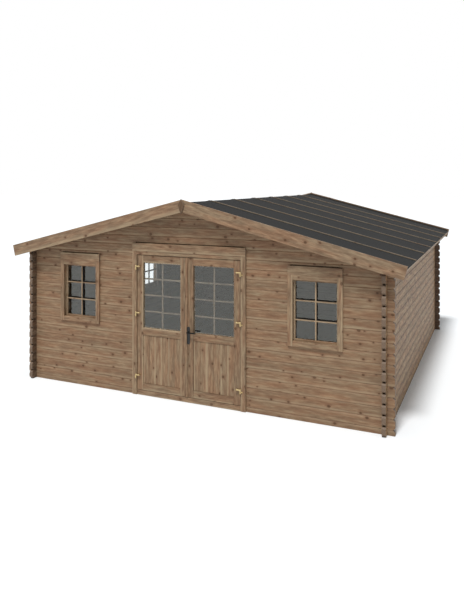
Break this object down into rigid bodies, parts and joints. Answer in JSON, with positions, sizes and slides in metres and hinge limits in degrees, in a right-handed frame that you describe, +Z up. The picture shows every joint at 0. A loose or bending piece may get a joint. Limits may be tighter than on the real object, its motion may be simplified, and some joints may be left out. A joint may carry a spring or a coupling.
{
  "type": "wooden garden house",
  "caption": "Log-built wooden garden house with interlocking notched corners, a low felted gable roof with battens, casement-look windows and a glazed double door that swings outward.",
  "frame": {"origin": "on the ground under the middle of the house's box", "axes": "+Z up, the door faces -Y, +X to the right seen from the front"},
  "size_m": [5.2242, 5.43, 2.4701],
  "materials": {
    "log_wood": "stained pine with knots, satin",
    "trim_wood": "stained pine boards, satin",
    "door_wood": "stained pine, satin",
    "batten_wood": "stained pine battens, matt",
    "roof_wood": "planed pine boards, matt",
    "floor_wood": "planed pine boards, matt",
    "felt": "bitumen roofing felt with mineral grit, matt",
    "glass": "clear float glass",
    "brass": "polished brass",
    "black_metal": "black powder coat, satin"
  },
  "bodies": {
    "cabin": {"front_wall_left": "log_wood", "front_wall_right": "log_wood", "front_gable": "log_wood", "back_wall": "log_wood", "left_wall": "log_wood", "right_wall": "log_wood", "floor_bearers": "floor_wood", "floor_boards": "floor_wood", "ridge_purlin": "roof_wood", "left_purlin": "roof_wood", "right_purlin": "roof_wood", "roof_boards_left": "roof_wood", "roof_boards_right": "roof_wood", "felt_left": "felt", "felt_right": "felt", "battens_left": "batten_wood", "battens_right": "batten_wood", "eave_fascia_left": "trim_wood", "eave_fascia_right": "trim_wood", "barge_front_left": "trim_wood", "barge_front_right": "trim_wood", "barge_back_left": "trim_wood", "barge_back_right": "trim_wood", "finial_front": "trim_wood", "finial_back": "trim_wood", "door_frame": "trim_wood", "threshold": "trim_wood", "head_boards": "trim_wood", "window_frame_left": "trim_wood", "window_frame_right": "trim_wood", "window_frame_side": "trim_wood", "window_sashes": "trim_wood", "window_panes": "glass", "frame_hinges": "brass"},
    "left_leaf": {"left_leaf_frame": "door_wood", "left_leaf_panel": "door_wood", "left_leaf_glass": "glass", "left_leaf_hinges": "brass"},
    "right_leaf": {"right_leaf_frame": "door_wood", "right_leaf_panel": "door_wood", "right_leaf_glass": "glass", "right_leaf_hinges": "brass", "handle_plates": "black_metal"},
    "lever": {"lever": "black_metal"}
  },
  "joints": [
    {"name": "left_leaf_swing", "type": "hinge", "parent": "cabin", "child": "left_leaf", "pos_m": [-0.712, -2.582, 0], "axis": [0, 0, -1], "range_deg": [0, 150]},
    {"name": "right_leaf_swing", "type": "hinge", "parent": "cabin", "child": "right_leaf", "pos_m": [0.712, -2.582, 0], "axis": [0, 0, 1], "range_deg": [0, 150]},
    {"name": "lever_turn", "type": "hinge", "parent": "right_leaf", "child": "lever", "pos_m": [0.0245, -2.54, 0.855], "axis": [0, 1, 0], "range_deg": [0, 40], "stiffness_Nm_per_rad": 1.5, "springref_deg": -22.92}
  ]
}
